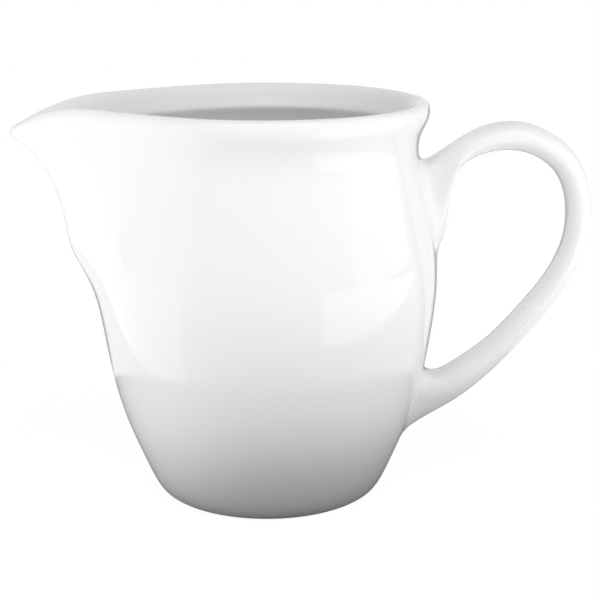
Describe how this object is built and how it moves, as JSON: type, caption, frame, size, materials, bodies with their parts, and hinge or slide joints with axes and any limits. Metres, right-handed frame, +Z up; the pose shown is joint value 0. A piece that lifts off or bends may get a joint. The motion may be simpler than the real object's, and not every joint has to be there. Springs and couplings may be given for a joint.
{
  "type": "porcelain creamer",
  "caption": "Round white porcelain cream jug with a drawn-out pouring spout, a rounded lip, a loop strap handle and a foot ring; one fired piece, open at the top.",
  "frame": {"origin": "centre of the foot ring, on the axis of the round body, at the level the jug stands on", "axes": "+Z up, +X towards the handle, the spout points to -X, +Y to the jug's left side seen from the handle"},
  "size_m": [0.1294, 0.0765, 0.0886],
  "materials": {
    "porcelain": "clear glaze, gloss"
  },
  "bodies": {
    "root": {"creamer": "porcelain"}
  },
  "joints": []
}
